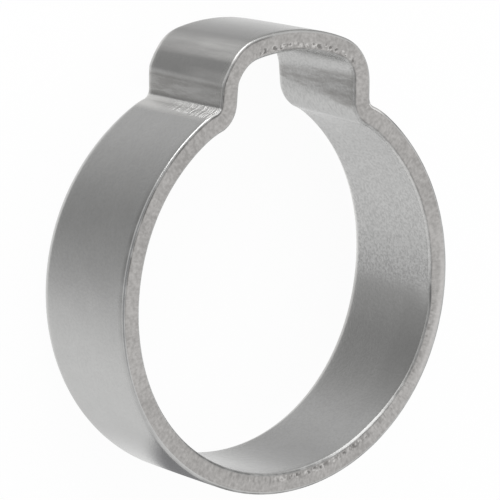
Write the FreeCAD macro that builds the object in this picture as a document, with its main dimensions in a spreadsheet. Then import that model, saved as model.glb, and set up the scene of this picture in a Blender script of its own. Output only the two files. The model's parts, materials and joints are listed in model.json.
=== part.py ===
import FreeCAD, Part
import math
import os

import Sketcher

# One-ear hose clamp: a closed ring of stainless steel strip. The strip steps
# out into a hollow ear, which pliers pinch at its two feet to tighten the ring.
#
# Millimetres. The bore runs along Z, the origin is on its axis at half the
# width of the band, and +Y points to the ear. The ring lies flat on one rim.

doc = FreeCAD.newDocument("EarHoseClamp")

dimensions = {
    "insideDiameter": 20.4,        # the ring's bore, before it is tightened
    "bandWidth": 7.0,              # width of the strip, along the bore
    "bandThickness": 1.2,          # thickness of the strip
    "earInsideWidth": 7.85,        # clear width between the ear's two legs
    "earRise": 3.1,                # how far the ear's roof stands out past the ring
    "footBendRadius": 0.45,        # tight outer bend where a leg leaves the ring
    "shoulderInsideRadius": 1.3,   # bend between a leg and the roof, inside
    "crownInsideRadius": 10.1,     # the roof's slight crown, inside
    "rolledEdge": 0.16,            # radius of the two outer edges, which the die rolls over
    "deburredEdge": 0.16,          # bevel of the two edges towards the hose
}

sheet = doc.addObject("Spreadsheet::Sheet", "Dimensions")
for row, (alias, value) in enumerate(dimensions.items(), start=1):
    sheet.set("A%d" % row, alias)
    sheet.set("B%d" % row, str(value))
    sheet.setAlias("B%d" % row, alias)
doc.recompute()

START, END, CENTRE = range(1, 4)   # the points of a sketched arc or line
ORIGIN = (-1, START)               # the sketch's own origin
UP = FreeCAD.Vector(0, 0, 1)


def arc(x, y, radius, startAngle, endAngle):
    """An arc about (x, y), drawn anticlockwise between two angles in radians."""
    circle = Part.Circle(FreeCAD.Vector(x, y, 0), UP, radius)
    return Part.ArcOfCircle(circle, startAngle, endAngle)


def line(x, fromY, toY):
    """A vertical line at x."""
    return Part.LineSegment(FreeCAD.Vector(x, fromY, 0), FreeCAD.Vector(x, toY, 0))


def drawSurface(sketch, name, layer):
    """Sketch one surface of the strip, seen along the bore, as a closed loop.

    layer is 0 for the surface towards the hose and 1 for the outer surface,
    one thickness further out. All bends of the two loops are concentric, so
    the strip keeps its thickness all the way round.
    """
    offset = layer * sheet.bandThickness
    ring = sheet.insideDiameter / 2 + offset
    leg = sheet.earInsideWidth / 2 + offset
    foot = sheet.footBendRadius + sheet.bandThickness - offset
    shoulder = sheet.shoulderInsideRadius + offset
    crown = sheet.crownInsideRadius + offset

    # Where the bends lie when each one is tangent to its neighbours.
    crownY = sheet.insideDiameter / 2 + sheet.earRise - sheet.crownInsideRadius
    shoulderX = leg - shoulder
    shoulderY = crownY + math.sqrt((crown - shoulder) ** 2 - shoulderX ** 2)
    footX = leg + foot
    footY = math.sqrt((ring + foot) ** 2 - footX ** 2)
    footAngle = math.atan2(footY, footX)
    shoulderAngle = math.atan2(shoulderY - crownY, shoulderX)

    # The loop, anticlockwise from the foot on the left, round the hose.
    ringArc, rightFoot, rightLeg, rightShoulder, crownArc, leftShoulder, leftLeg, leftFoot = (
        sketch.addGeometry([
            arc(0, 0, ring, math.pi - footAngle, 2 * math.pi + footAngle),
            arc(footX, footY, foot, math.pi, math.pi + footAngle),
            line(leg, footY, shoulderY),
            arc(shoulderX, shoulderY, shoulder, 0, shoulderAngle),
            arc(0, crownY, crown, shoulderAngle, math.pi - shoulderAngle),
            arc(-shoulderX, shoulderY, shoulder, math.pi - shoulderAngle, math.pi),
            line(-leg, shoulderY, footY),
            arc(-footX, footY, foot, -footAngle, 0),
        ], False))

    sketch.addConstraint([
        Sketcher.Constraint("Tangent", ringArc, END, rightFoot, END),
        Sketcher.Constraint("Tangent", rightFoot, START, rightLeg, START),
        Sketcher.Constraint("Tangent", rightLeg, END, rightShoulder, START),
        Sketcher.Constraint("Tangent", rightShoulder, END, crownArc, START),
        Sketcher.Constraint("Tangent", crownArc, END, leftShoulder, START),
        Sketcher.Constraint("Tangent", leftShoulder, END, leftLeg, START),
        Sketcher.Constraint("Tangent", leftLeg, END, leftFoot, END),
        Sketcher.Constraint("Tangent", leftFoot, START, ringArc, START),
        Sketcher.Constraint("Coincident", ringArc, CENTRE, *ORIGIN),
        Sketcher.Constraint("PointOnObject", crownArc, CENTRE, -2),   # on the vertical axis
        Sketcher.Constraint("Vertical", rightLeg),
        Sketcher.Constraint("Vertical", leftLeg),
        Sketcher.Constraint("Equal", rightFoot, leftFoot),
        Sketcher.Constraint("Equal", rightShoulder, leftShoulder),
    ])

    def dimension(label, constraint, formula):
        index = sketch.addConstraint(constraint)
        sketch.renameConstraint(index, name + label)
        sketch.setExpression("Constraints." + name + label, formula)

    thickness = "%d * Dimensions.bandThickness" % layer
    dimension("Ring", Sketcher.Constraint("Radius", ringArc, ring),
              "Dimensions.insideDiameter / 2 + " + thickness)
    dimension("Crown", Sketcher.Constraint("Radius", crownArc, crown),
              "Dimensions.crownInsideRadius + " + thickness)
    dimension("Shoulder", Sketcher.Constraint("Radius", rightShoulder, shoulder),
              "Dimensions.shoulderInsideRadius + " + thickness)
    dimension("Foot", Sketcher.Constraint("Radius", rightFoot, foot),
              "Dimensions.footBendRadius + Dimensions.bandThickness - " + thickness)
    dimension("CrownHeight", Sketcher.Constraint("DistanceY", *ORIGIN, crownArc, CENTRE, crownY),
              "Dimensions.insideDiameter / 2 + Dimensions.earRise - Dimensions.crownInsideRadius")
    dimension("RightLeg", Sketcher.Constraint("DistanceX", *ORIGIN, rightLeg, START, leg),
              "Dimensions.earInsideWidth / 2 + " + thickness)
    dimension("LeftLeg", Sketcher.Constraint("DistanceX", leftLeg, START, *ORIGIN, leg),
              "Dimensions.earInsideWidth / 2 + " + thickness)


def originPlane(body, role):
    """The body's own origin plane with this role."""
    return [feature for feature in body.Origin.OriginFeatures if feature.Role == role][0]


def rimEdges(shape, outer):
    """Names of the edges round the outer, or else the inner, outline of both rims."""
    rims = [face for face in shape.Faces
            if isinstance(face.Surface, Part.Plane) and abs(face.Surface.Axis.z) > 0.5]
    wires = [wire for rim in rims for wire in rim.Wires if wire.isSame(rim.OuterWire) == outer]
    wanted = [edge for wire in wires for edge in wire.Edges]
    return ["Edge%d" % number for number, edge in enumerate(shape.Edges, start=1)
            if any(edge.isSame(other) for other in wanted)]


def clampBand():
    """The whole clamp: the strip's edge, extruded by its width, with its edges dressed."""
    body = doc.addObject("PartDesign::Body", "ClampBand")
    body.Label = "clamp_band"

    sketch = body.newObject("Sketcher::SketchObject", "StripEdge")
    sketch.AttachmentSupport = (originPlane(body, "XY_Plane"), [""])
    sketch.MapMode = "FlatFace"
    drawSurface(sketch, "inner", 0)
    drawSurface(sketch, "outer", 1)

    strip = body.newObject("PartDesign::Pad", "Strip")
    strip.Profile = sketch
    strip.SideType = "Symmetric"
    strip.setExpression("Length", "Dimensions.bandWidth")
    doc.recompute()

    rolledEdges = body.newObject("PartDesign::Fillet", "RolledEdges")
    rolledEdges.Base = (strip, rimEdges(strip.Shape, True))
    rolledEdges.setExpression("Radius", "Dimensions.rolledEdge")
    doc.recompute()

    deburredEdges = body.newObject("PartDesign::Chamfer", "DeburredEdges")
    deburredEdges.Base = (rolledEdges, rimEdges(rolledEdges.Shape, False))
    deburredEdges.setExpression("Size", "Dimensions.deburredEdge")
    return body


subparts = [clampBand()]
doc.recompute()

for item in doc.Objects:
    if "Invalid" in item.State or "Error" in item.State:
        raise RuntimeError("%s did not build: %s" % (item.Label, item.State))

os.makedirs("parts", exist_ok=True)
for subpart in subparts:
    solid = subpart.Shape
    if solid.isNull() or not solid.isValid():
        raise RuntimeError("%s has no valid shape" % subpart.Label)
    solid.exportStep("parts/%s.step" % subpart.Label)
    box = solid.optimalBoundingBox(False, False)
    print("%s: %.2f x %.2f x %.2f mm, %.1f mm3, %d solid" % (
        subpart.Label, box.XLength, box.YLength, box.ZLength, solid.Volume, len(solid.Solids)))
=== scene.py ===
import json
import math

import bpy
import numpy as np
from mathutils import Matrix, Vector


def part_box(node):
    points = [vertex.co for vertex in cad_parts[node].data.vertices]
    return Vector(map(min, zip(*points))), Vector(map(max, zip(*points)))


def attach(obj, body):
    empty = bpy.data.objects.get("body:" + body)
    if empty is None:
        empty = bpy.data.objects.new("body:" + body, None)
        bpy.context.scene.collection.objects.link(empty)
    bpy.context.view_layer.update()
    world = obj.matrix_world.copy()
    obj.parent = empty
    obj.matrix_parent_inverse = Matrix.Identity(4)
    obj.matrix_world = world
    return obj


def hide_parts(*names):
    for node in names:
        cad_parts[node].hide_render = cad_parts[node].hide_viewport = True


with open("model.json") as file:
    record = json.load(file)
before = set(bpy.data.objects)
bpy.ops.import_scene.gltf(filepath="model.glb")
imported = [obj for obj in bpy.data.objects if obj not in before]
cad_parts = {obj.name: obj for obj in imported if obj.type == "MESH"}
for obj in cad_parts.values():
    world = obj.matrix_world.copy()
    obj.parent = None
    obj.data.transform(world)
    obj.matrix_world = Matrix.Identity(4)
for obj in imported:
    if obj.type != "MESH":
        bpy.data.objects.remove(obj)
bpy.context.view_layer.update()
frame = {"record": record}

# One-ear hose clamp of stainless steel strip, lying on one rim.
#
# Everything is in metres, in the part's own frame: the bore runs along Z, the origin is
# on its axis at half the strip's width, and +Y points to the ear. A place on the strip is
# given in millimetres as on the flat blank: along it from the middle of the ear's roof,
# anticlockwise seen from +Z, and across it towards +Z.

mm = 0.001
rng = np.random.default_rng(7)


def linearColour(hexText):
    # sRGB to linear: c / 12.92 for the darkest values, else ((c + 0.055) / 1.055) ** 2.4
    channels = np.array([int(hexText[i:i + 2], 16) for i in (1, 3, 5)]) / 255
    linear = np.where(channels <= 0.04045, channels / 12.92, ((channels + 0.055) / 1.055) ** 2.4)
    return (*linear.tolist(), 1.0)


def addNode(tree, kind, inputs=(), **settings):
    # A node of this kind with its settings. Each input is a plain value, a colour as sRGB hex,
    # another node's output, or another node, which stands for the first output that it has in
    # use. In a Mix node, 0 is the factor, 2 and 3 are plain values to mix, and 6 and 7 colours.
    node = tree.nodes.new("ShaderNode" + kind)
    for name, value in settings.items():
        setattr(node, name, value)
    for socket, value in dict(inputs).items():
        if isinstance(value, str):
            value = linearColour(value)
        if isinstance(value, bpy.types.Node):
            value = next(output for output in value.outputs if output.enabled)
        if isinstance(value, bpy.types.NodeSocket):
            tree.links.new(value, node.inputs[socket])
        else:
            node.inputs[socket].default_value = value
    return node


def addMaterial(mesh, name):
    # A new material on the mesh. What comes back is its tree of nodes.
    material = bpy.data.materials.new(name)
    material.use_nodes = True
    mesh.materials.append(material)
    return material.node_tree


def addObject(name, data):
    # An object with this mesh, lamp or camera, in the scene
    item = bpy.data.objects.new(name, data)
    bpy.context.scene.collection.objects.link(item)
    return item


def smoothStep(values, start, end, first=0, last=1):
    # first before start and last after end, and between them t * t * (3 - 2 t) of the way
    t = np.clip((values - start) / (end - start), 0, 1)
    return first + (last - first) * t * t * (3 - 2 * t)


def within(values, setsIn, fades):
    # 1 along a stretch and 0 outside it, where it sets in and fades over a pair of places each
    return smoothStep(values, *setsIn) * (1 - smoothStep(values, *fades))


def bell(values, middle, width):
    # exp(-t * t), for t the distance from the middle over the width
    return np.exp(-((values - middle) / width) ** 2)


# The strip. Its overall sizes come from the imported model, and its bends are set here.
low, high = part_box("clamp_band")
mounts = {mount["name"]: mount for mount in frame["record"]["mounts"]}

strip = {
    "boreRadius": mounts["hose_bore"]["dims"]["r_mm"] * mm,
    "outerRadius": high.x,
    "earHalfWidth": mounts["ear_leg_right"]["pos_m"][0],   # to the outside of a leg
    "roofTop": high.y,
    "width": high.z - low.z,
    "footBend": 0.45 * mm,        # the tight outer bend where a leg leaves the ring
    "shoulderBend": 1.3 * mm,     # inside the ear, between a leg and the roof
    "crownBend": 10.1 * mm,       # the roof's slight crown, inside the ear
    "runOut": 0.3 * mm,           # how far each bend runs out into its neighbours
    "rolledEdge": 0.16 * mm,      # radius of the upper rim's outer edge
    "deburredEdge": 0.12 * mm,    # bevel of the upper rim's edge towards the hose
    "bevelCorner": 0.03 * mm,     # how sharp that bevel's own corners are
    "longRoll": 0.75 * mm,        # the lower rim's edges were drawn in by the blade: a long
    "longRollTurn": math.radians(33),   # shallow roll, then a short tight one
    "shortRoll": 0.15 * mm,
    "lowerThinner": 0.12,         # share by which the wall thins out towards the lower rim
    "tolerance": 0.001 * mm,      # for telling which points lie on the rim
    "ringSteps": 680,             # steps along each stretch of the strip
    "footSteps": 34,
    "legSteps": 16,
    "shoulderSteps": 40,
    "crownSteps": 50,
    "faceSteps": 22,              # across the outer face, and two fewer across the inner one
    "rimSteps": 20,               # through the thickness, on the rim that faces up
    "lowerRimSteps": 8,
    "rollSteps": 8,               # round the rolled edge
    "lowerRollSteps": 4,          # on each of the lower rim's bends
    "bevelSteps": 3,
    "cornerSteps": 2,             # round each corner of the bevel
    "fineSteps": 20000,           # for laying out the bends that set in gently
}


def chain(stretches, heading=0.0, start=(0.0, 0.0)):
    # A line of straights and bends, each given as (length, turn, steps). A stretch's curvature
    # is constant, so the chord of a step is its arc times sin(a) / a, for a half the step's
    # turn, laid along the mean of its two headings. The chords add up to the line.
    lengths = np.concatenate([np.full(steps, length / steps) for length, turn, steps in stretches])
    turns = np.concatenate([np.full(steps, turn / steps) for length, turn, steps in stretches])
    headings = heading + np.append(0, np.cumsum(turns))
    middles = headings[:-1] + turns / 2
    chords = lengths * np.sinc(turns / (2 * np.pi))
    x = start[0] + np.append(0, np.cumsum(chords * np.cos(middles)))
    y = start[1] + np.append(0, np.cumsum(chords * np.sin(middles)))
    return x, y, headings, np.append(0, np.cumsum(lengths))


def softened(x, y, headings, along):
    # The same closed line with bends that set in gently. The heading at each place becomes its
    # mean over a run-out's length to both sides, which is the difference of its integral there,
    # and the steps are laid along it again. The small gap that this leaves is shared out.
    reach, length = strip["runOut"], along[-1]
    wider = np.linspace(-reach, length + reach, strip["fineSteps"] + 1)
    heading = np.interp(wider % length, along, headings) + 2 * math.pi * (wider // length)
    integral = np.append(0, np.cumsum((heading[1:] + heading[:-1]) / 2 * np.diff(wider)))
    fine = np.linspace(0, length, strip["fineSteps"] + 1)
    mean = np.interp(fine + reach, wider, integral) - np.interp(fine - reach, wider, integral)
    mean = mean / (2 * reach)
    middles = (mean[1:] + mean[:-1]) / 2
    steps = np.diff(fine)
    newX = x[0] + np.append(0, np.cumsum(steps * np.cos(middles)))
    newY = y[0] + np.append(0, np.cumsum(steps * np.sin(middles)))
    newX, newY = [line - (line[-1] - line[0]) * fine / length for line in (newX, newY)]
    newX, newY, newHeadings = [np.interp(along, fine, line) for line in (newX, newY, mean)]
    return newX, newY, newHeadings, along


def midline():
    # The strip's middle layer, seen along the bore: half the roof, a shoulder, a leg, a foot,
    # the ring, and the same back again. The bends touch when the roof turns by the arcsine of
    # the gap between the two bends' centres over the gap of their radii, and the foot by the
    # arccosine of its centre's x over the sum of the ring's and its own radius.
    half = (strip["outerRadius"] - strip["boreRadius"]) / 2
    ring = strip["boreRadius"] + half
    leg = strip["earHalfWidth"] - half
    foot = strip["footBend"] + half
    shoulder = strip["shoulderBend"] + half
    crown = strip["crownBend"] + half
    crownY = strip["roofTop"] - half - crown
    crownTurn = math.asin((leg - shoulder) / (crown - shoulder))
    shoulderTurn = math.pi / 2 - crownTurn
    shoulderY = crownY + (crown - shoulder) * math.cos(crownTurn)
    footTurn = math.acos((leg + foot) / (ring + foot))
    footY = (ring + foot) * math.sin(footTurn)
    ear = [
        (crown * crownTurn, crownTurn, strip["crownSteps"]),
        (shoulder * shoulderTurn, shoulderTurn, strip["shoulderSteps"]),
        (shoulderY - footY, 0, strip["legSteps"]),
        (foot * footTurn, -footTurn, strip["footSteps"]),
    ]
    ringTurn = math.pi + 2 * footTurn
    stretches = ear + [(ring * ringTurn, ringTurn, strip["ringSteps"])] + ear[::-1]
    return softened(*chain(stretches, math.pi, (0, crownY + crown)))


def edgeBend(*bends):
    # An edge of the section, from a face to a rim, and how far it reaches along each of them.
    # Bends turn right, and each is (radius, turn, steps), or (-length, 0, steps) for a straight.
    stretches = [(radius * turn if turn else -radius, -turn, steps) for radius, turn, steps in bends]
    x, y = chain(stretches)[:2]
    return stretches, x[-1], -y[-1]


def section():
    # The strip's cut end, clockwise from the outer face's lower corner: x is across the strip
    # and y is depth, outward from the middle layer. A bevel's corners each take the tangent of
    # a quarter of a right angle times their radius from its length, at both of its ends. The
    # last result says at which point each part begins.
    eighth = math.pi / 4
    depth = strip["outerRadius"] - strip["boreRadius"]
    corner = strip["bevelCorner"]
    bevel = strip["deburredEdge"] * math.sqrt(2) - 2 * corner * math.tan(eighth / 2)
    longTurn = strip["longRollTurn"]
    bevelCorner = (corner, eighth, strip["cornerSteps"])
    roll, rollWidth, rollDepth = edgeBend((strip["rolledEdge"], 2 * eighth, strip["rollSteps"]))
    bend, bendWidth, bendDepth = edgeBend(bevelCorner, (-bevel, 0, strip["bevelSteps"]), bevelCorner)
    lower, lowerWidth, lowerDepth = edgeBend(
        (strip["longRoll"], longTurn, strip["lowerRollSteps"]),
        (strip["shortRoll"], 2 * eighth - longTurn, strip["lowerRollSteps"]))
    parts = {
        "outerFace": [(strip["width"] - rollWidth - lowerWidth, 0, strip["faceSteps"])],
        "upperRoll": roll,
        "upperRim": [(depth - rollDepth - bendDepth, 0, strip["rimSteps"])],
        "bevel": bend[::-1],
        "innerFace": [(strip["width"] - bendWidth - lowerWidth, 0, strip["faceSteps"] - 2)],
        "innerRoll": lower,
        "lowerRim": [(depth - 2 * lowerDepth, 0, strip["lowerRimSteps"])],
        "outerRoll": lower[::-1],
    }
    start = (lowerWidth - strip["width"] / 2, depth / 2)
    x, y, _, along = chain(sum(parts.values(), []), 0, start)
    firstColumn = {}
    column = 0
    for name, part in parts.items():
        firstColumn[name] = column
        column += sum(steps for length, turn, steps in part)
    return x, y, along, firstColumn


def gridFaces(rows, columns):
    # Each face joins a point to the next one along the strip and round the section, and both
    # directions close on themselves.
    row = np.arange(rows)[:, None]
    column = np.arange(columns)[None, :]
    nextRow = (row + 1) % rows
    nextColumn = (column + 1) % columns
    corners = [row * columns + column, nextRow * columns + column,
               nextRow * columns + nextColumn, row * columns + nextColumn]
    return np.stack(corners, axis=-1).reshape(-1, 4)


def addPointValues(mesh, name, shape, *values):
    # One value, or the three of a vector, for each point of a grid of this shape
    kind, field = ("FLOAT_VECTOR", "vector") if len(values) == 3 else ("FLOAT", "value")
    attribute = mesh.attributes.new(name, kind, "POINT")
    whole = np.stack([np.broadcast_to(part, shape) for part in values], axis=-1)
    attribute.data.foreach_set(field, whole.astype(np.float32).ravel())


# How far the formed ring is out of true, and the ear with it. Waves are (how many go round
# the ring, cosine, sine), outward, and the lower ones grow from the upper rim to the lower.
untrue = {
    "waves": [(2, -0.15, 0.0), (3, 0.04, -0.016), (4, -0.033, 0.0)],
    "lowerWaves": [(0, 0.008, 0.0), (1, -0.091, 0.0), (2, 0.153, 0.0), (3, -0.124, 0.036)],
    "earReach": 7.0 * mm,         # the ear's points lie nearer to x = 0 than this
    "earFoot": 9.3 * mm,          # the ear leans from here up
    "earTop": 14.5 * mm,
    "earLean": 0.074 * mm,        # towards +X at the roof, and how much more at the lower rim
    "lowerLean": -0.395 * mm,
    "earNarrower": 0.056,         # share of its width that the ear loses at the roof
    "earSink": 0.037 * mm,        # how much lower the roof is, also at the lower rim
    "lowerSink": 0.038 * mm,
    "earTilt": -0.0215,           # slope of the roof along X
    "kinkTop": 12.75 * mm,        # the left leg flares out from here down to a soft kink
    "kinkPlace": 11.72 * mm,
    "kinkFlare": 0.17 * mm,
    "kinkPower": 1.5,
    "flareEnd": 9.0 * mm,         # and the ring's end takes the flare up, down to here
    "footEnd": 7.93,              # mm from the roof's middle to the end of a foot
    "footHump": 0.06 * mm,        # past its foot the ring stands up in a low hump
    "humpPlace": 0.9,             # mm past the foot
}


def waveSum(waves, angle):
    # The sum of c cos na + s sin na over the waves (n, c, s)
    terms = [cosine * np.cos(count * angle) + sine * np.sin(count * angle)
             for count, cosine, sine in waves]
    return sum(terms) * mm


def outOfTrue(x, y, z):
    # At an angle a about the bore, a point moves out by the sum of the waves in a, and by the
    # lower waves for its share of the way down. The left leg flares by a power of the way from
    # the kink's top to the kink, and the ear's points lean, draw in and sink by the share of
    # the ear's rise that they stand at, eased in and out.
    angle = np.arctan2(y, x)
    down = 0.5 - z / strip["width"]
    out = waveSum(untrue["waves"], angle) + down * waveSum(untrue["lowerWaves"], angle)
    x, y = x + out * np.cos(angle), y + out * np.sin(angle)
    onEar = np.abs(x) < untrue["earReach"]
    rise = onEar * smoothStep(y, untrue["earFoot"], untrue["earTop"])
    toKink = (untrue["kinkTop"] - y) / (untrue["kinkTop"] - untrue["kinkPlace"])
    fall = np.clip(toKink, 0, 1) ** untrue["kinkPower"]
    flare = untrue["kinkFlare"] * fall * smoothStep(y, untrue["flareEnd"], untrue["kinkPlace"])
    x = x - flare * (x < 0)
    newX = x + rise * (untrue["earLean"] + down * untrue["lowerLean"] - untrue["earNarrower"] * x)
    newY = y + rise * (untrue["earTilt"] * x - untrue["earSink"] - down * untrue["lowerSink"])
    return newX, newY


# Where the blade broke through, it tore small chips out of the rim that faces up, in the third
# of it towards the hose. Places are in mm, along the strip or from its middle layer inward.
tears = {
    "stretches": [(-4.6, 3.9, 1.1), (36, 44, 1.0)],   # start, end and how many of the chips show
    "blend": 1.2,                 # over which a stretch sets in
    "countBack": 66.0,            # places from here on count back from the roof's middle
    "comb": ((30, 35), (52, 54)),             # a comb of fine scores
    "zone": ((0, 0.2), (0.36, 0.46)),         # through the thickness
    "chip": 0.6,                  # from one chip to the next
    "waves": 60,
    "waveTurns": (0.15, 1.6),     # how often a wave turns from one chip to the next
    "slope": 1.0,                 # how far waves turn from the strip's own direction
    "level": 1.9,                 # of the waves' sum, past which there is a chip
    "levelDrop": 1.3,             # how much lower that level is where all chips show
    "chipSlope": 0.7,             # from the level to a chip's full depth
    "lipSlope": (-0.8, -0.3),     # from the level to where a lip begins, and is at its height
    "leastShare": 0.02,           # of a stretch, under which it is bare
    "deep": 0.05 * mm,
    "lipHeight": 0.35,            # share of the chips' depth
}


def tornChips(along, across, inward, length):
    # How deep a chip is at each point, from 0 to 1. A sum of cosines with random directions and
    # phases is cut off at a level, so that only its peaks are left. Each cosine goes round the
    # strip a whole number of times. A lip stands round each chip, just under that level. Two
    # more results say how far a point lies in the torn zone, and in the comb's.
    turns = np.round(length / tears["chip"] * rng.uniform(*tears["waveTurns"], tears["waves"]))
    slopes = rng.normal(0, tears["slope"], tears["waves"]) * 2 * math.pi / tears["chip"]
    phases = rng.uniform(0, 2 * math.pi, tears["waves"])
    angle = 2 * math.pi * along / length
    waves = np.cos(angle[..., None] * turns - inward[..., None] * slopes + phases)
    field = waves.sum(axis=-1) / math.sqrt(tears["waves"] / 2)
    fromMiddle = np.where(along > tears["countBack"], along - length, along)
    blend = tears["blend"]
    share = sum(amount * within(fromMiddle, (start, start + blend), (end - blend, end))
                for start, end, amount in tears["stretches"])
    onRim = across > (strip["width"] / 2 - strip["tolerance"]) / mm
    zone = within(inward, *tears["zone"]) * onRim
    level = tears["level"] - tears["levelDrop"] * share * zone
    inside = zone * (share > tears["leastShare"])
    chips = smoothStep(field, level, level + tears["chipSlope"]) * inside
    lipStart, lipTop = tears["lipSlope"]
    lips = smoothStep(field, level + lipStart, level + lipTop) * inside * share - chips
    return chips, np.clip(lips, 0, 1), share * zone, within(fromMiddle, *tears["comb"]) * zone


# Where the upper rim's edge towards the hose is drawn in further than elsewhere
worn = {
    "stretch": ((43.5, 49.0), (51.5, 54.0)),  # mm along the strip
    "drawnIn": 0.25 * mm,
    "reach": 2.0 * mm,            # how far across the face the edge begins to bend
    "power": 1.4,
    "fullFrom": 0.6 * mm,         # depth inward from the middle layer where it moves in full
}


def bandPoints(path, across, depth, along, length):
    # Each point is the middle layer's point, plus its depth along the layer's outward normal
    # (sin h, -cos h) for a heading h. A hump a x exp(1 - x) is added at x hump lengths past a
    # foot. A worn edge moves outward by a power of its nearness to the rim.
    pathX, pathY, heading = path
    nearRim = np.clip((across - strip["width"] / 2) / worn["reach"] + 1, 0, 1) ** worn["power"]
    onHoseFace = np.clip(-depth / worn["fullFrom"], 0, 1)
    depth = depth + worn["drawnIn"] * within(along, *worn["stretch"]) * nearRim * onHoseFace
    fromRoof = np.minimum(along, length - along)
    pastFoot = np.clip(fromRoof - untrue["footEnd"], 0, None) / untrue["humpPlace"]
    hump = untrue["footHump"] * pastFoot * np.exp(1 - pastFoot)
    x = pathX + (depth + hump) * np.sin(heading)
    y = pathY - (depth + hump) * np.cos(heading)
    return x, y, depth


# How the strip's edges are finished, with painted dark reflections and highlights along them.
# Stretches are in mm along the strip. A line is (place, width, share) and a side (where it sets
# in, where it is full), both in mm round the section from the corner that edgeFinish names.
edges = {
    "left": ((1.2, 3.2), (17, 24)),           # the left of the ear, and of the ring past it
    "roofFrom": (66.2, 68.0),                 # the ear's right, over the roof's middle
    "roofTo": (1.2, 3.2),
    "rightFrom": (29, 32),                    # the ring's right, and the ear's
    "rightTo": 1.5,
    "darkBevels": [((28, 31), (39.5, 42)), ((44.5, 46.5), (53, 54.5))],
    # the painted highlight on the bevel towards the hose
    "edgeHighlight": ((53, 54.5), (62, 64)),
    "farRollHighlight": ((36, 40), (62, 66)),          # a painted highlight along the lower rim's roll
    "shoulder": ((1.5, 3), (8, 10)),          # the ear's left shoulder and leg
    "outerLine": (0, 0.05, 1.2),              # along the upper rim's outer corner
    "startLine": (-0.25, 0.05, 0.4),          # where the rolled edge begins
    "startLineFrom": (12, 16),
    "rolledLine": (-0.14, 0.09, 1),           # on the rolled edge
    "rolledLineFrom": (31, 34),
    "leastRolled": 0.3,                       # its least share,
    "roofRolled": 0.9,                        # and what it loses over the roof
    "innerLine": (0, 0.05, 0.7),              # along the rim's corner towards the hose
    "bevelLine": (0.06, 0.075, 1.05),         # on the bevel: a painted dark reflection
    "bevelSide": (0, 0.03),                   # the bevel
    "rollSide": (-0.05, 0),                   # the rolled edge
    "nearRollSide": (-0.6, -0.2),             # it and the outer face beside it
    "farRollSide": (0.08, 0.22),              # the lower rim's roll, towards the hose
    "farRollEnd": 0.7,
    "bright": 0.5,                            # how bright the painted highlight on the bevel is
    "rollBrushed": 0.4,                       # how brushed the upper rim's rolled edge is,
    "leftBrushed": 0.25,                      # and how much less on the left
    "roofBrushed": 0.3,                       # and over the roof
    "shoulderBrushed": 0.5,
}


def edgeFinish(along, around, begins):
    # Shares from 0 to 1, from a point's places along the strip and round its section: of the
    # painted dark reflections along the corners, of painted highlights on edges and of brushed
    # edges. Each line is a bell about its place.
    def line(name, corner):
        offset, width, share = edges[name]
        return share * bell(around, begins[corner] + offset, width)

    def side(name, corner, end):
        setsIn, full = edges[name]
        return smoothStep(around, begins[corner] + setsIn, begins[corner] + full) * (around < end)

    left = within(along, *edges["left"])
    roof = smoothStep(along, *edges["roofFrom"]) + 1 - smoothStep(along, *edges["roofTo"])
    right = smoothStep(along, *edges["rightFrom"]) + (along < edges["rightTo"])
    darkBevel = sum(within(along, *stretch) for stretch in edges["darkBevels"])
    started = smoothStep(along, *edges["startLineFrom"])
    rolledShare = edges["leastRolled"] + smoothStep(along, *edges["rolledLineFrom"])
    rolledShare = (rolledShare - edges["roofRolled"] * roof).clip(edges["leastRolled"])
    # painted dark reflections along the corners and on the bevel
    lines = left * (line("outerLine", "upperRim") + started * line("startLine", "upperRim"))
    lines = lines + rolledShare * line("rolledLine", "upperRim")
    lines = lines + right * (1 - darkBevel) * line("innerLine", "bevel")
    lines = lines + darkBevel * line("bevelLine", "bevel")

    rimStart = begins["upperRim"] + strip["tolerance"] / mm
    bevel = side("bevelSide", "bevel", begins["innerFace"])
    rolled = side("rollSide", "upperRoll", rimStart)
    nearRoll = side("nearRollSide", "upperRim", rimStart) * within(along, *edges["shoulder"])
    farRollHighlight = side("farRollSide", "innerRoll", begins["innerRoll"] + edges["farRollEnd"])
    farRollHighlight = farRollHighlight * within(along, *edges["farRollHighlight"])
    rollShare = edges["rollBrushed"] - edges["leftBrushed"] * left - edges["roofBrushed"] * roof
    return {
        "darkReflectionLine": lines,
        # painted highlights on the bevel and on the lower rim's roll
        "edgeHighlight": edges["bright"] * within(along, *edges["edgeHighlight"]) * bevel + farRollHighlight,
        "brushedEdge": bevel + rollShare * rolled + farRollHighlight + edges["shoulderBrushed"] * nearRoll,
    }
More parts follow.
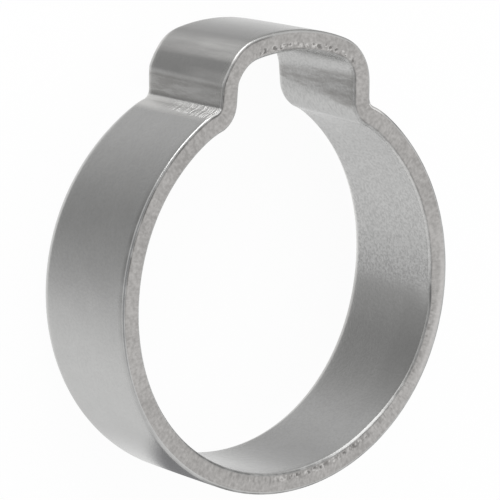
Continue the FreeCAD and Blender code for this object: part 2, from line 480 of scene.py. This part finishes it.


# What forming the strip left, and where shade and a reflection are painted on it. Places are
# in mm: for the ear's marks from the roof's middle to both sides, for the others along the whole
# strip, and across it or through its thickness.
marks = {
    "hoseSide": (0.3, 0.5),       # depth inward where the face towards the hose sets in
    "outerSide": (0.0, 0.3),      # depth outward where the rim's outer side does
    "creaseShade": (7.05, 0.14),       # a painted shade line in the bend of a foot, and its width
    "drag": ((7.2, 7.45), (8.3, 8.8)),        # drag marks of the tool on the left foot
    "dragAcross": (-2.4, 2.0),
    "scraped": ((7.2, 7.4), (8.4, 9.0)),      # the duller band that it scraped past each foot
    "smudge": ((5.1, 5.7), (6.7, 6.86)),      # the dull patch inside the right leg
    "smudgeRise": 0.09,           # how much sooner it begins per mm across,
    "smudgeSlant": 0.13,          # and how much further along it reaches
    "legFilm": ((5.7, 5.9), (7.0, 7.4)),      # a faint one outside the left leg
    "legFilmAcross": (-2.5, 1.5),
    "legFilmShares": (1.6, 0.8),  # towards the lower rim, and towards the upper one
    "rub": ((3.2, 4.4), (4.65, 4.85)),        # a painted reflection: a paler band over the ear's left shoulder,
    "rubAcross": (-1.5, 1.0),
    "rubShares": (0.6, 1.0),
    "lowRub": ((5.1, 5.35), (5.6, 5.95)),     # and lightly again below it, near the upper rim
    "lowRubAcross": (-1.0, 1.5),
    "lowRubShare": 0.5,
    "earEnd": (7.0, 7.4),         # down to here the whole ear's outside is darker by this share: painted shade
    "earShade": 0.34,
    "smear": (0.6, 0.16),         # a faint dark line across the roof, and its width
    "smearAcross": ((-1.0, 0.0), (1.0, 1.7)),
    "smearShare": 0.2,
    "hazeAndShade": ((43.0, 47.5), (52.4, 53.7)),     # darker on the face towards the hose: a film, and painted shade where it mirrors the darker room
    "hazeShare": 0.34,
    "burnish": ((46.5, 49.5), (53.5, 57.0)),  # where the upper rim's outer side is paler
    "coarseFrom": (52.3, 53.8),   # from here over the roof to there, the face towards the hose
    "coarseTo": (18, 22),         # has a coarser grain,
    "coarseEar": (7.5, 10.0),     # but less of it on the ear
    "coarseShares": (0.6, 1.0),
    "grain": 0.2,                 # how grained the outside is,
    "hoseGrain": 0.15,            # how much more the face towards the hose is,
    "coarseGrain": 0.75,          # and how much more again where it is coarse
}


def formingMarks(along, across, depth, length):
    # The share of each mark, from 0 to 1, from a point's places in mm
    fromRoof = np.minimum(along, length - along)
    onRight = along > length / 2
    hoseSide = smoothStep(-depth, *marks["hoseSide"])
    outside = 1 - hoseSide

    smudgeStart, smudgeEnd = marks["smudge"]
    smudge = smoothStep(fromRoof + marks["smudgeRise"] * across, *smudgeStart)
    smudge = smudge * (1 - smoothStep(fromRoof - marks["smudgeSlant"] * across, *smudgeEnd))
    legFilm = within(fromRoof, *marks["legFilm"])
    legFilm = legFilm * smoothStep(across, *marks["legFilmAcross"], *marks["legFilmShares"])

    smear = marks["smearShare"] * bell(along, *marks["smear"]) * within(across, *marks["smearAcross"])
    # painted shade over the ear's outside
    earShade = marks["earShade"] * (1 - smoothStep(fromRoof, *marks["earEnd"]))
    # partly a film, partly painted shade where this face mirrors the darker part of the room
    hazeAndShade = marks["hazeShare"] * within(along, *marks["hazeAndShade"])

    rub = within(fromRoof, *marks["rub"])
    rub = rub * smoothStep(across, *marks["rubAcross"], *marks["rubShares"])
    lowRub = within(fromRoof, *marks["lowRub"]) * smoothStep(across, *marks["lowRubAcross"])

    coarse = smoothStep(along, *marks["coarseFrom"]) + 1 - smoothStep(along, *marks["coarseTo"])
    coarse = coarse * smoothStep(fromRoof, *marks["coarseEar"], *marks["coarseShares"])
    drag = within(along, *marks["drag"]) * smoothStep(across, *marks["dragAcross"])
    return {
        "hoseSide": hoseSide,
        "grained": marks["grain"] + hoseSide * (marks["hoseGrain"] + marks["coarseGrain"] * coarse),
        "burnished": within(along, *marks["burnish"]) * smoothStep(depth, *marks["outerSide"]),
        "dragged": outside * drag,
        # painted shade in the bend of each foot
        "creaseShade": outside * bell(fromRoof, *marks["creaseShade"]),
        "smudge": hoseSide * onRight * smudge + outside * (1 - onRight) * legFilm,
        # painted shade over the ear and on the face towards the hose, with a smear and a film
        "shadeAndFilm": outside * (earShade + smear) + hoseSide * hazeAndShade,
        "scraped": outside * within(fromRoof, *marks["scraped"]),
        # a painted reflection over the ear's left shoulder
        "paintedShoulderSheen": outside * (1 - onRight) * (rub + marks["lowRubShare"] * lowRub),
    }


def clampBand():
    # A grid whose rows go along the strip and whose columns go round its section. Both close,
    # so the last point of each line is left out. The wall thins with the square of the way
    # down, and the rim sinks by its chips and stands up by their lips.
    *path, pathAlong = [values[:, None] for values in midline()]
    sectionAcross, sectionDepth, around, firstColumn = section()
    length = pathAlong[-1, 0] / mm
    along = pathAlong[:-1] / mm
    across, fullDepth = sectionAcross[None, :-1], sectionDepth[None, :-1]
    torn, lips, tornZone, combZone = tornChips(along, across / mm, -fullDepth / mm, length)
    thinDepth = fullDepth * (1 - strip["lowerThinner"] * (0.5 - across / strip["width"]) ** 2)
    x, y, depth = bandPoints([line[:-1] for line in path], across, thinDepth, along, length)
    z = across + tears["deep"] * (tears["lipHeight"] * lips - torn)
    x, y = outOfTrue(x, y, z)

    mesh = bpy.data.meshes.new("clampBand")
    mesh.from_pydata(np.stack([x, y, z], axis=-1).reshape(-1, 3), [], gridFaces(*x.shape))
    mesh.shade_smooth()

    # The strip laid out as a plain hoop of the same length, so that a pattern follows the
    # bends and closes on itself: once with the place across it, and once with the depth.
    angle = 2 * math.pi * along / length
    hoopX = length * mm / (2 * math.pi) * np.cos(angle)
    hoopY = length * mm / (2 * math.pi) * np.sin(angle)
    addPointValues(mesh, "stripPlace", x.shape, hoopX, hoopY, z)
    addPointValues(mesh, "rimPlace", x.shape, hoopX, hoopY, depth)
    addPointValues(mesh, "alongAcross", x.shape, along, across / mm, 0)
    begins = {name: around[column] / mm for name, column in firstColumn.items()}
    shares = {"torn": torn, "lips": lips, "tornZone": tornZone, "combZone": combZone}
    shares.update(edgeFinish(along, around[None, :-1] / mm, begins))
    shares.update(formingMarks(along, across / mm, thinDepth / mm, length))
    for name, values in shares.items():
        addPointValues(mesh, name, x.shape, values)

    column = np.tile(np.arange(x.shape[1]), x.shape[0])
    onUpperRim = (column >= firstColumn["upperRim"]) & (column < firstColumn["bevel"])
    onLowerRim = (column >= firstColumn["lowerRim"]) & (column < firstColumn["outerRoll"])
    mesh.polygons.foreach_set("material_index", (onUpperRim | onLowerRim).astype(np.int32))

    band = addObject("clampBand", mesh)
    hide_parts("clamp_band")
    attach(band, "root")
    print("strip:", x.shape, "points,", round(length, 2), "mm long")
    return band


# Painted dark reflections along the rims' corners
cornerDarkReflection = {
    "colour": "#3C3B3A",
    "share": 0.7,
    "patch": 0.7 * mm,            # the size of the patches that break its line up
    "least": 0.45,                # how much of its share is left between them
}


def paintDarkCornerReflection(tree, colour):
    # The colour, darker along a rim's corners: painted dark reflections, standing in for dark
    # surroundings mirrored there. The line is broken up by patches.
    line = addNode(tree, "Attribute", attribute_name="darkReflectionLine").outputs["Fac"]
    place = addNode(tree, "Attribute", attribute_name="rimPlace").outputs["Vector"]
    patches = addNode(tree, "TexNoise", {
        "Vector": place, "Scale": 1 / cornerDarkReflection["patch"], "Detail": 3})
    broken = addNode(tree, "MapRange", {
        "Value": patches, "From Min": 0.35, "From Max": 0.6,
        "To Min": cornerDarkReflection["least"] * cornerDarkReflection["share"], "To Max": cornerDarkReflection["share"]})
    amount = addNode(tree, "Math", {0: line, 1: broken}, operation="MULTIPLY")
    return addNode(tree, "Mix", {
        0: amount, 6: colour, 7: cornerDarkReflection["colour"]}, data_type="RGBA").outputs[2]


def tumbledStrip(mesh):
    # Cold-rolled 304 stainless strip, formed and then tumbled: a soft satin mirror, slightly
    # mottled, with an orange peel that shows most on the face towards the hose.
    look = {
        "colour": "#C7C7C6",
        "dullColour": "#C2C2C1",
        "mottle": 1.6 * mm,           # width of the cloudy patches that tumbling leaves
        "peel": 0.16 * mm,            # the orange peel's grain, and how high it stands
        "peelHeight": 0.018 * mm,
        "peelShade": "#A8A8A7",
        "outerRoughness": 0.21,
        "innerRoughness": 0.20,
        "scrapedRoughness": 0.5,
        "streakRoughness": 0.42,
        "dragWidth": 0.12,            # mm, of one drag mark, which crosses the whole foot
        "dragLength": 60,             # times its width
        "dragHeight": 0.05 * mm,
        "dragBare": 0.8,              # share of the scraped band's shine that drag marks take
        "rubWidth": 0.22,             # mm, of one streak of the painted reflection across the ear
        "rubLength": 12,              # times its width
        # bright bare metal of the scraped band and drag marks; the painted highlights and reflection
        # take it too
        "scrapedAndHighlightColour": "#FCFBF9",
        "scrapedAndHighlightShare": 0.7,
        "creaseColour": "#6A6968",
        "creaseShare": 0.3,
        "smudgeAndShadeColour": "#9C9B99",
        "smudgeSize": 0.36 * mm,
        "smudgeDrawn": 0.18,          # its patches are wiped across the strip: width over length
    }
    tree = addMaterial(mesh, "tumbledStainlessStrip")
    shader = tree.nodes["Principled BSDF"]
    shader.inputs["Metallic"].default_value = 1
    place = addNode(tree, "Attribute", attribute_name="stripPlace").outputs["Vector"]
    alongAcross = addNode(tree, "Attribute", attribute_name="alongAcross").outputs["Vector"]
    hoseSide, grained, scraped, brushed, dragged, paintedShoulderSheen, edgeHighlight, shadeAndFilm, creaseShade, smudge = [
        addNode(tree, "Attribute", attribute_name=name).outputs["Fac"] for name in (
            "hoseSide", "grained", "scraped", "brushedEdge", "dragged", "paintedShoulderSheen", "edgeHighlight",
            "shadeAndFilm", "creaseShade", "smudge")]
    mottle = addNode(tree, "TexNoise", {
        "Vector": place, "Scale": 1 / look["mottle"], "Detail": 6, "Roughness": 0.6})
    cloudy = addNode(tree, "MapRange", {"Value": mottle, "From Min": 0.3, "From Max": 0.7})
    colour = addNode(tree, "Mix", {
        0: cloudy, 6: look["dullColour"], 7: look["colour"]}, data_type="RGBA")
    roughness = addNode(tree, "MapRange", {
        "Value": hoseSide, "To Min": look["outerRoughness"], "To Max": look["innerRoughness"]})
    roughened = addNode(tree, "Math", {0: scraped, 1: brushed}, operation="MAXIMUM")
    duller = addNode(tree, "Mix", {0: roughened, 2: roughness, 3: look["scrapedRoughness"]})
    peel = addNode(tree, "TexNoise", {
        "Vector": place, "Scale": 1 / look["peel"], "Detail": 4, "Roughness": 0.6})
    peelDark = addNode(tree, "MapRange", {
        "Value": peel, "From Min": 0.58, "From Max": 0.38, "To Min": 0, "To Max": 0.7})
    peelShare = addNode(tree, "Math", {0: peelDark, 1: grained}, operation="MULTIPLY")
    peeledColour = addNode(tree, "Mix", {
        0: peelShare, 6: colour, 7: look["peelShade"]}, data_type="RGBA")
    peelHeight = addNode(tree, "MapRange", {"Value": grained, "To Min": 0.25, "To Max": 1.3})
    height = addNode(tree, "Math", {0: peel, 1: peelHeight}, operation="MULTIPLY")
    peeled = addNode(tree, "Bump", {"Height": height, "Distance": look["peelHeight"], "Strength": 1})

    # Drag marks: ridges along the strip, scraped bright. The same bright colour is painted as
    # highlights on the edges and as a paler reflection over the ear's left shoulder.
    dragPlace = addNode(tree, "VectorMath", {
        0: alongAcross, 1: (1 / look["dragLength"], 1, 1)}, operation="MULTIPLY")
    ridges = addNode(tree, "TexNoise", {
        "Vector": dragPlace, "Scale": 1 / look["dragWidth"], "Detail": 1})
    crests = addNode(tree, "MapRange", {"Value": ridges, "From Min": 0.46, "From Max": 0.56})
    crestShare = addNode(tree, "Math", {0: crests, 1: dragged}, operation="MULTIPLY")
    bump = addNode(tree, "Bump", {
        "Height": crestShare, "Distance": look["dragHeight"], "Strength": 1, "Normal": peeled})
    # streaks of the painted reflection over the ear's left shoulder
    rubPlace = addNode(tree, "VectorMath", {
        0: alongAcross, 1: (1, 1 / look["rubLength"], 1)}, operation="MULTIPLY")
    rubs = addNode(tree, "TexNoise", {"Vector": rubPlace, "Scale": 1 / look["rubWidth"], "Detail": 3})
    rubMarks = addNode(tree, "MapRange", {"Value": rubs, "To Min": 0.1, "To Max": 1.5})
    rubShare = addNode(tree, "Math", {0: rubMarks, 1: paintedShoulderSheen}, operation="MULTIPLY", use_clamp=True)
    gaps = addNode(tree, "Math", {0: dragged, 1: -look["dragBare"], 2: 1}, operation="MULTIPLY_ADD")
    betweenStreaks = addNode(tree, "Math", {0: scraped, 1: gaps}, operation="MULTIPLY")
    # painted highlights on the edges take the scraped band's bright colour
    bareAndHighlight = addNode(tree, "Math", {0: betweenStreaks, 1: edgeHighlight}, operation="MAXIMUM")
    plainShare = addNode(tree, "Math", {0: bareAndHighlight, 1: look["scrapedAndHighlightShare"]}, operation="MULTIPLY")
    evenShare = addNode(tree, "Math", {0: plainShare, 1: rubShare}, operation="MAXIMUM")
    brightShare = addNode(tree, "Math", {0: crestShare, 1: evenShare}, operation="MAXIMUM")
    bright = addNode(tree, "Mix", {
        0: brightShare, 6: peeledColour, 7: look["scrapedAndHighlightColour"]}, data_type="RGBA")

    # Darker colours: painted shade over the ear and in the feet's creases, a film and painted
    # shade on the face towards the hose, a faint smear over the roof, and patchy films on the legs.
    shadeAndFilmColour = addNode(tree, "Mix", {0: shadeAndFilm, 6: bright, 7: look["smudgeAndShadeColour"]}, data_type="RGBA")
    # painted shade in the bend of each foot
    creaseShare = addNode(tree, "Math", {0: creaseShade, 1: look["creaseShare"]}, operation="MULTIPLY")
    creased = addNode(tree, "Mix", {
        0: creaseShare, 6: shadeAndFilmColour, 7: look["creaseColour"]}, data_type="RGBA")
    smudgePlace = addNode(tree, "VectorMath", {
        0: place, 1: (1, 1, look["smudgeDrawn"])}, operation="MULTIPLY")
    film = addNode(tree, "TexNoise", {
        "Vector": smudgePlace, "Scale": 1 / look["smudgeSize"], "Detail": 5, "Roughness": 0.65})
    patches = addNode(tree, "MapRange", {
        "Value": film, "From Min": 0.4, "From Max": 0.62, "To Min": 0.3, "To Max": 1})
    filmShare = addNode(tree, "Math", {0: patches, 1: smudge}, operation="MULTIPLY")
    smudged = addNode(tree, "Mix", {
        0: filmShare, 6: creased, 7: look["smudgeAndShadeColour"]}, data_type="RGBA")
    darkened = paintDarkCornerReflection(tree, smudged)
    tree.links.new(darkened, shader.inputs["Base Color"])
    roughest = addNode(tree, "Mix", {0: crestShare, 2: duller, 3: look["streakRoughness"]})
    tree.links.new(roughest.outputs[0], shader.inputs["Roughness"])
    tree.links.new(bump.outputs["Normal"], shader.inputs["Normal"])


def shearedEdge(mesh):
    # The same steel where the strip was slit from the sheet: a matt, warm grey, torn face with
    # fine scores across it.
    look = {
        "colour": "#BAB8B6",
        "darkColour": "#9F9D9B",
        # the chips, pits and scores take this colour: painted shade of their hollows, with some dirt
        "tornShadeAndDirtColour": "#6E6C6A",
        "tornShare": 0.7,
        "lipColour": "#DEDCDA",
        "lipShare": 0.7,
        "burnishedShare": 0.4,        # of the lips' colour where the rim is rubbed paler
        "pit": 0.35 * mm,             # the torn zone's dark pits
        "pitShare": 0.6,
        "tooth": 0.17 * mm,           # the comb's scores
        "toothDrawn": 0.15,           # width over length
        "toothShare": 0.45,
        "grain": 0.20 * mm,
        "cloud": 3.0 * mm,            # slower changes of shade along the rim
        "cloudShare": 0.5,
        "score": 0.11 * mm,           # the blade's scores
        "scoreDrawn": 0.125,          # width over length
        "scoreShare": 0.35,
        "roughness": 0.45,
        "height": 0.009 * mm,
    }
    tree = addMaterial(mesh, "slitSteelEdge")
    shader = tree.nodes["Principled BSDF"]
    shader.inputs["Metallic"].default_value = 1
    shader.inputs["Roughness"].default_value = look["roughness"]
    place = addNode(tree, "Attribute", attribute_name="rimPlace").outputs["Vector"]
    torn, lips, burnished, tornZone, combZone = [
        addNode(tree, "Attribute", attribute_name=name).outputs["Fac"]
        for name in ("torn", "lips", "burnished", "tornZone", "combZone")]
    scorePlace = addNode(tree, "VectorMath", {
        0: place, 1: (1, 1, look["scoreDrawn"])}, operation="MULTIPLY")
    grain = addNode(tree, "TexNoise", {"Vector": place, "Scale": 1 / look["grain"], "Detail": 4})
    scores = addNode(tree, "TexNoise", {"Vector": scorePlace, "Scale": 1 / look["score"], "Detail": 3})
    fine = addNode(tree, "Math", {0: scores, 1: look["scoreShare"]}, operation="MULTIPLY")
    slow = addNode(tree, "TexNoise", {"Vector": place, "Scale": 1 / look["cloud"], "Detail": 2})
    cloud = addNode(tree, "Math", {
        0: slow, 1: look["cloudShare"], 2: -look["cloudShare"] / 2}, operation="MULTIPLY_ADD")
    both = addNode(tree, "Math", {0: grain, 1: fine}, operation="ADD")
    clouded = addNode(tree, "Math", {0: both, 1: cloud}, operation="ADD")
    shade = addNode(tree, "MapRange", {"Value": clouded, "From Min": 0.46, "From Max": 0.88})
    colour = addNode(tree, "Mix", {
        0: shade, 6: look["darkColour"], 7: look["colour"]}, data_type="RGBA")
    tornShare = addNode(tree, "Math", {0: torn, 1: look["tornShare"]}, operation="MULTIPLY")
    lipShare = addNode(tree, "Math", {0: lips, 1: look["lipShare"]}, operation="MULTIPLY")
    rubShare = addNode(tree, "Math", {0: burnished, 1: look["burnishedShare"]}, operation="MULTIPLY")
    palest = addNode(tree, "Math", {0: lipShare, 1: rubShare}, operation="MAXIMUM")
    lipped = addNode(tree, "Mix", {0: palest, 6: colour, 7: look["lipColour"]}, data_type="RGBA")
    pits = addNode(tree, "TexNoise", {
        "Vector": place, "Scale": 1 / look["pit"], "Detail": 4, "Roughness": 0.65})
    pitted = addNode(tree, "MapRange", {
        "Value": pits, "From Min": 0.53, "From Max": 0.62, "To Max": look["pitShare"]})
    pitShare = addNode(tree, "Math", {0: pitted, 1: tornZone}, operation="MULTIPLY")
    toothPlace = addNode(tree, "VectorMath", {
        0: place, 1: (1, 1, look["toothDrawn"])}, operation="MULTIPLY")
    teeth = addNode(tree, "TexNoise", {"Vector": toothPlace, "Scale": 1 / look["tooth"], "Detail": 3})
    toothed = addNode(tree, "MapRange", {
        "Value": teeth, "From Min": 0.5, "From Max": 0.64, "To Max": look["toothShare"]})
    toothShare = addNode(tree, "Math", {0: toothed, 1: combZone}, operation="MULTIPLY")
    # chips, pits and scores darkened: painted shade of their hollows, with some dirt
    scored = addNode(tree, "Math", {0: pitShare, 1: toothShare}, operation="MAXIMUM")
    darkShare = addNode(tree, "Math", {0: scored, 1: tornShare}, operation="MAXIMUM")
    chipped = addNode(tree, "Mix", {0: darkShare, 6: lipped, 7: look["tornShadeAndDirtColour"]}, data_type="RGBA")
    bump = addNode(tree, "Bump", {"Height": both, "Distance": look["height"], "Strength": 1})
    darkened = paintDarkCornerReflection(tree, chipped)
    tree.links.new(darkened, shader.inputs["Base Color"])
    tree.links.new(bump.outputs["Normal"], shader.inputs["Normal"])


def direction(azimuth, elevation):
    # The unit vector at these angles in degrees, azimuth from +X towards +Y
    azimuth, elevation = math.radians(azimuth), math.radians(elevation)
    flat = math.cos(elevation)
    return Vector((flat * math.cos(azimuth), flat * math.sin(azimuth), math.sin(elevation)))


camera = {
    "azimuth": 165.27,            # where the camera stands, in degrees
    "elevation": 51.66,
    "roll": 105.09,               # degrees, clockwise
    "lens": 1000,                 # a long lens, because the two rims show equally large
    "fieldWidth": 27.775 * mm,    # what the picture's width takes in
    "aim": Vector((0.183, 1.637, -0.185)) * mm,
    "sees": 10,                   # how far, in metres
}


def addCamera():
    # It stands off from its aim by the picture's width times the lens over the sensor's width
    back = direction(camera["azimuth"], camera["elevation"])
    data = bpy.data.cameras.new("camera")
    data.lens = camera["lens"]
    distance = camera["fieldWidth"] * data.lens / data.sensor_width
    data.clip_end = camera["sees"]
    item = addObject("camera", data)
    turned = back.to_track_quat("Z", "Y").to_matrix() @ Matrix.Rotation(
        math.radians(camera["roll"]), 3, "Z")
    item.matrix_world = Matrix.LocRotScale(camera["aim"] + back * distance, turned, None)
    bpy.context.scene.camera = item
    print("camera:", [round(v, 4) for v in item.location])


studio = {
    # the pale surroundings that the metal mirrors, from azimuth -180 to 180 degrees
    "surroundings": [
        (-180, "#B8B8B8"), (-161, "#D9D9D9"), (-135, "#F1F1F1"), (-95, "#F1F1F1"), (-65, "#E8E8E8"),
        (-45, "#F4F4F4"), (2, "#FAFAFA"), (30, "#D4D4D4"), (55, "#C2C2C2"), (88, "#CFCFCF"),
        (125, "#B8B8B8"), (155, "#A4A4A4"), (180, "#B8B8B8"),
    ],
    "upper": "#FFFFFF",
    "upperFrom": (-0.3, 0.4),     # height of a direction, -1 to 1, over which that sets in
    "underFrom": (-0.82, -0.96),  # and over which white does, right under the clamp
    "cameraSide": "#ACACAE",      # the dim part of the room over the camera
    "dimAzimuth": 180,
    "dimElevation": 62,
    "dimFrom": 42,                # degrees from its middle where it begins, and is full
    "dimFull": 18,
    "lampAzimuth": 104,
    "lampElevation": 28,
    "lampDistance": 120 * mm,
    "lampWidth": 80 * mm,
    "lampHeight": 36 * mm,
    "lampPower": 0.045,
    "cardLeft": (-11.5, -8.5),    # mm, a small dim card on the floor, painted shade that only the metal
    "cardRight": (5.0, 8.0),      # mirrors: where its sides set in and fade
    "cardFar": (-17.5, -15.0),
    "cardNear": -11.4,
    "cardSlope": 0.44,            # its edge towards the ring runs along this slope
    "cardEdge": -9.2,             # mm, where that edge crosses the bore's plane x = 0
    "cardBlend": 2.0,             # mm over which the edge fades
    "cardColour": "#8C8C8E",
    "cardLift": 0.02 * mm,        # over the floor
    "cardGrid": (60, 30),
    "floorColour": "#FAFAFA",
    "floorSize": 2.0,
    "shadowShare": 0.05,          # how much of the floor's own light and shade shows
}


def addWorld():
    # What the metal mirrors: greys by azimuth, which is the arctangent of y over x, blended by
    # height into the upper colour and into white right below, with a dim patch about one
    # direction, by the cosine of the angle to it. The camera sees plain white instead.
    world = bpy.data.worlds.new("paleStudio")
    bpy.context.scene.world = world
    world.use_nodes = True
    tree = world.node_tree
    background = tree.nodes["Background"]
    way = addNode(tree, "TexCoord").outputs["Generated"]
    parts = addNode(tree, "SeparateXYZ", {"Vector": way})
    azimuth = addNode(tree, "Math", {0: parts.outputs["Y"], 1: parts.outputs["X"]}, operation="ARCTAN2")
    turn = addNode(tree, "MapRange", {"Value": azimuth, "From Min": -math.pi, "From Max": math.pi})
    ramp = addNode(tree, "ValToRGB", {"Fac": turn})
    ramp.color_ramp.interpolation = "CARDINAL"
    stops = ramp.color_ramp.elements
    for degrees, colour in studio["surroundings"][1:-1]:
        stops.new((degrees + 180) / 360).color = linearColour(colour)
    stops[0].color = linearColour(studio["surroundings"][0][1])
    stops[-1].color = linearColour(studio["surroundings"][-1][1])
    rise = addNode(tree, "MapRange", {
        "Value": parts.outputs["Z"], "From Min": studio["upperFrom"][0],
        "From Max": studio["upperFrom"][1]}, interpolation_type="SMOOTHSTEP")
    room = addNode(tree, "Mix", {0: rise, 6: ramp, 7: studio["upper"]}, data_type="RGBA")
    under = addNode(tree, "MapRange", {
        "Value": parts.outputs["Z"], "From Min": studio["underFrom"][0],
        "From Max": studio["underFrom"][1]}, interpolation_type="SMOOTHSTEP")
    whiteUnder = addNode(tree, "Mix", {0: under, 6: room, 7: (1, 1, 1, 1)}, data_type="RGBA")
    middle = direction(studio["dimAzimuth"], studio["dimElevation"])
    nearness = addNode(tree, "VectorMath", {0: way, 1: middle}, operation="DOT_PRODUCT")
    dim = addNode(tree, "MapRange", {
        "Value": nearness,
        "From Min": math.cos(math.radians(studio["dimFrom"])),
        "From Max": math.cos(math.radians(studio["dimFull"])),
    }, interpolation_type="SMOOTHSTEP")
    surroundings = addNode(tree, "Mix", {
        0: dim, 6: whiteUnder, 7: studio["cameraSide"]}, data_type="RGBA")
    path = addNode(tree, "LightPath")
    shown = addNode(tree, "Mix", {
        0: path.outputs["Is Camera Ray"], 6: surroundings, 7: (1, 1, 1, 1)}, data_type="RGBA")
    tree.links.new(shown.outputs[2], background.inputs["Color"])


def addLamp():
    # A soft box at its distance along its direction, facing the origin
    data = bpy.data.lights.new("softBox", "AREA")
    data.shape = "RECTANGLE"
    data.size = studio["lampWidth"]
    data.size_y = studio["lampHeight"]
    data.energy = studio["lampPower"]
    item = addObject("softBox", data)
    way = direction(studio["lampAzimuth"], studio["lampElevation"])
    item.rotation_euler = way.to_track_quat("Z", "Y").to_euler()
    item.location = way * studio["lampDistance"]


def addDimCard():
    # A grid of points, each with a dimness from 0 to 1: the product of how far it lies inside
    # each of the card's four sides. The card is painted shade: an unlit grey sheet on the floor
    # beside the ring's outer side, which only the metal mirrors.
    rows, columns = studio["cardGrid"]
    x = np.linspace(studio["cardLeft"][0], studio["cardRight"][1], rows)[:, None]
    y = np.linspace(studio["cardFar"][0], studio["cardNear"], columns)[None, :]
    dimness = smoothStep(studio["cardSlope"] * x + studio["cardEdge"] - y, 0, studio["cardBlend"])
    dimness = dimness * within(x, studio["cardLeft"], studio["cardRight"])
    dimness = dimness * smoothStep(y, *studio["cardFar"])
    faces = gridFaces(rows, columns).reshape(rows, columns, 4)[:-1, :-1].reshape(-1, 4)
    height = np.full(dimness.shape, low.z + studio["cardLift"])
    points = np.stack(np.broadcast_arrays(x * mm, y * mm, height), axis=-1).reshape(-1, 3)
    mesh = bpy.data.meshes.new("dimCard")
    mesh.from_pydata(points, [], faces)
    addPointValues(mesh, "dimness", dimness.shape, dimness)
    card = addObject("dimCard", mesh)
    for use in ("visible_camera", "visible_diffuse", "visible_transmission", "visible_shadow"):
        setattr(card, use, False)

    tree = addMaterial(mesh, "dimCardPaper")
    tree.nodes.remove(tree.nodes["Principled BSDF"])
    dim = addNode(tree, "Attribute", attribute_name="dimness").outputs["Fac"]
    clear = addNode(tree, "BsdfTransparent")
    paper = addNode(tree, "Emission", {"Color": studio["cardColour"], "Strength": 1})
    look = addNode(tree, "MixShader", {0: dim, 1: clear, 2: paper})
    tree.links.new(look.outputs[0], tree.nodes["Material Output"].inputs["Surface"])


def addFloor():
    # Paper under the clamp, which the metal doesn't mirror. The camera sees it white, but for a
    # small share of its own light and shade.
    half = studio["floorSize"] / 2
    corners = [(-half, -half, low.z), (half, -half, low.z), (half, half, low.z), (-half, half, low.z)]
    mesh = bpy.data.meshes.new("floor")
    mesh.from_pydata(corners, [], [(0, 1, 2, 3)])
    floor = addObject("floor", mesh)
    floor.visible_glossy = False

    tree = addMaterial(mesh, "whitePaperFloor")
    tree.nodes.remove(tree.nodes["Principled BSDF"])
    paper = addNode(tree, "BsdfDiffuse", {"Color": studio["floorColour"]})
    white = addNode(tree, "Emission", {"Color": (1, 1, 1, 1), "Strength": 1})
    path = addNode(tree, "LightPath")
    whiteShare = addNode(tree, "Math", {
        0: path.outputs["Is Camera Ray"], 1: 1 - studio["shadowShare"]}, operation="MULTIPLY")
    look = addNode(tree, "MixShader", {0: whiteShare, 1: paper, 2: white})
    tree.links.new(look.outputs[0], tree.nodes["Material Output"].inputs["Surface"])


band = clampBand()
tumbledStrip(band.data)
shearedEdge(band.data)
print("materials:", [material.name for material in band.data.materials])
addCamera()
addWorld()
addLamp()
addDimCard()
addFloor()
bpy.context.scene.view_settings.view_transform = "Standard"
print("studio:", len(studio["surroundings"]), "stops of surroundings, a lamp, a card and a floor")
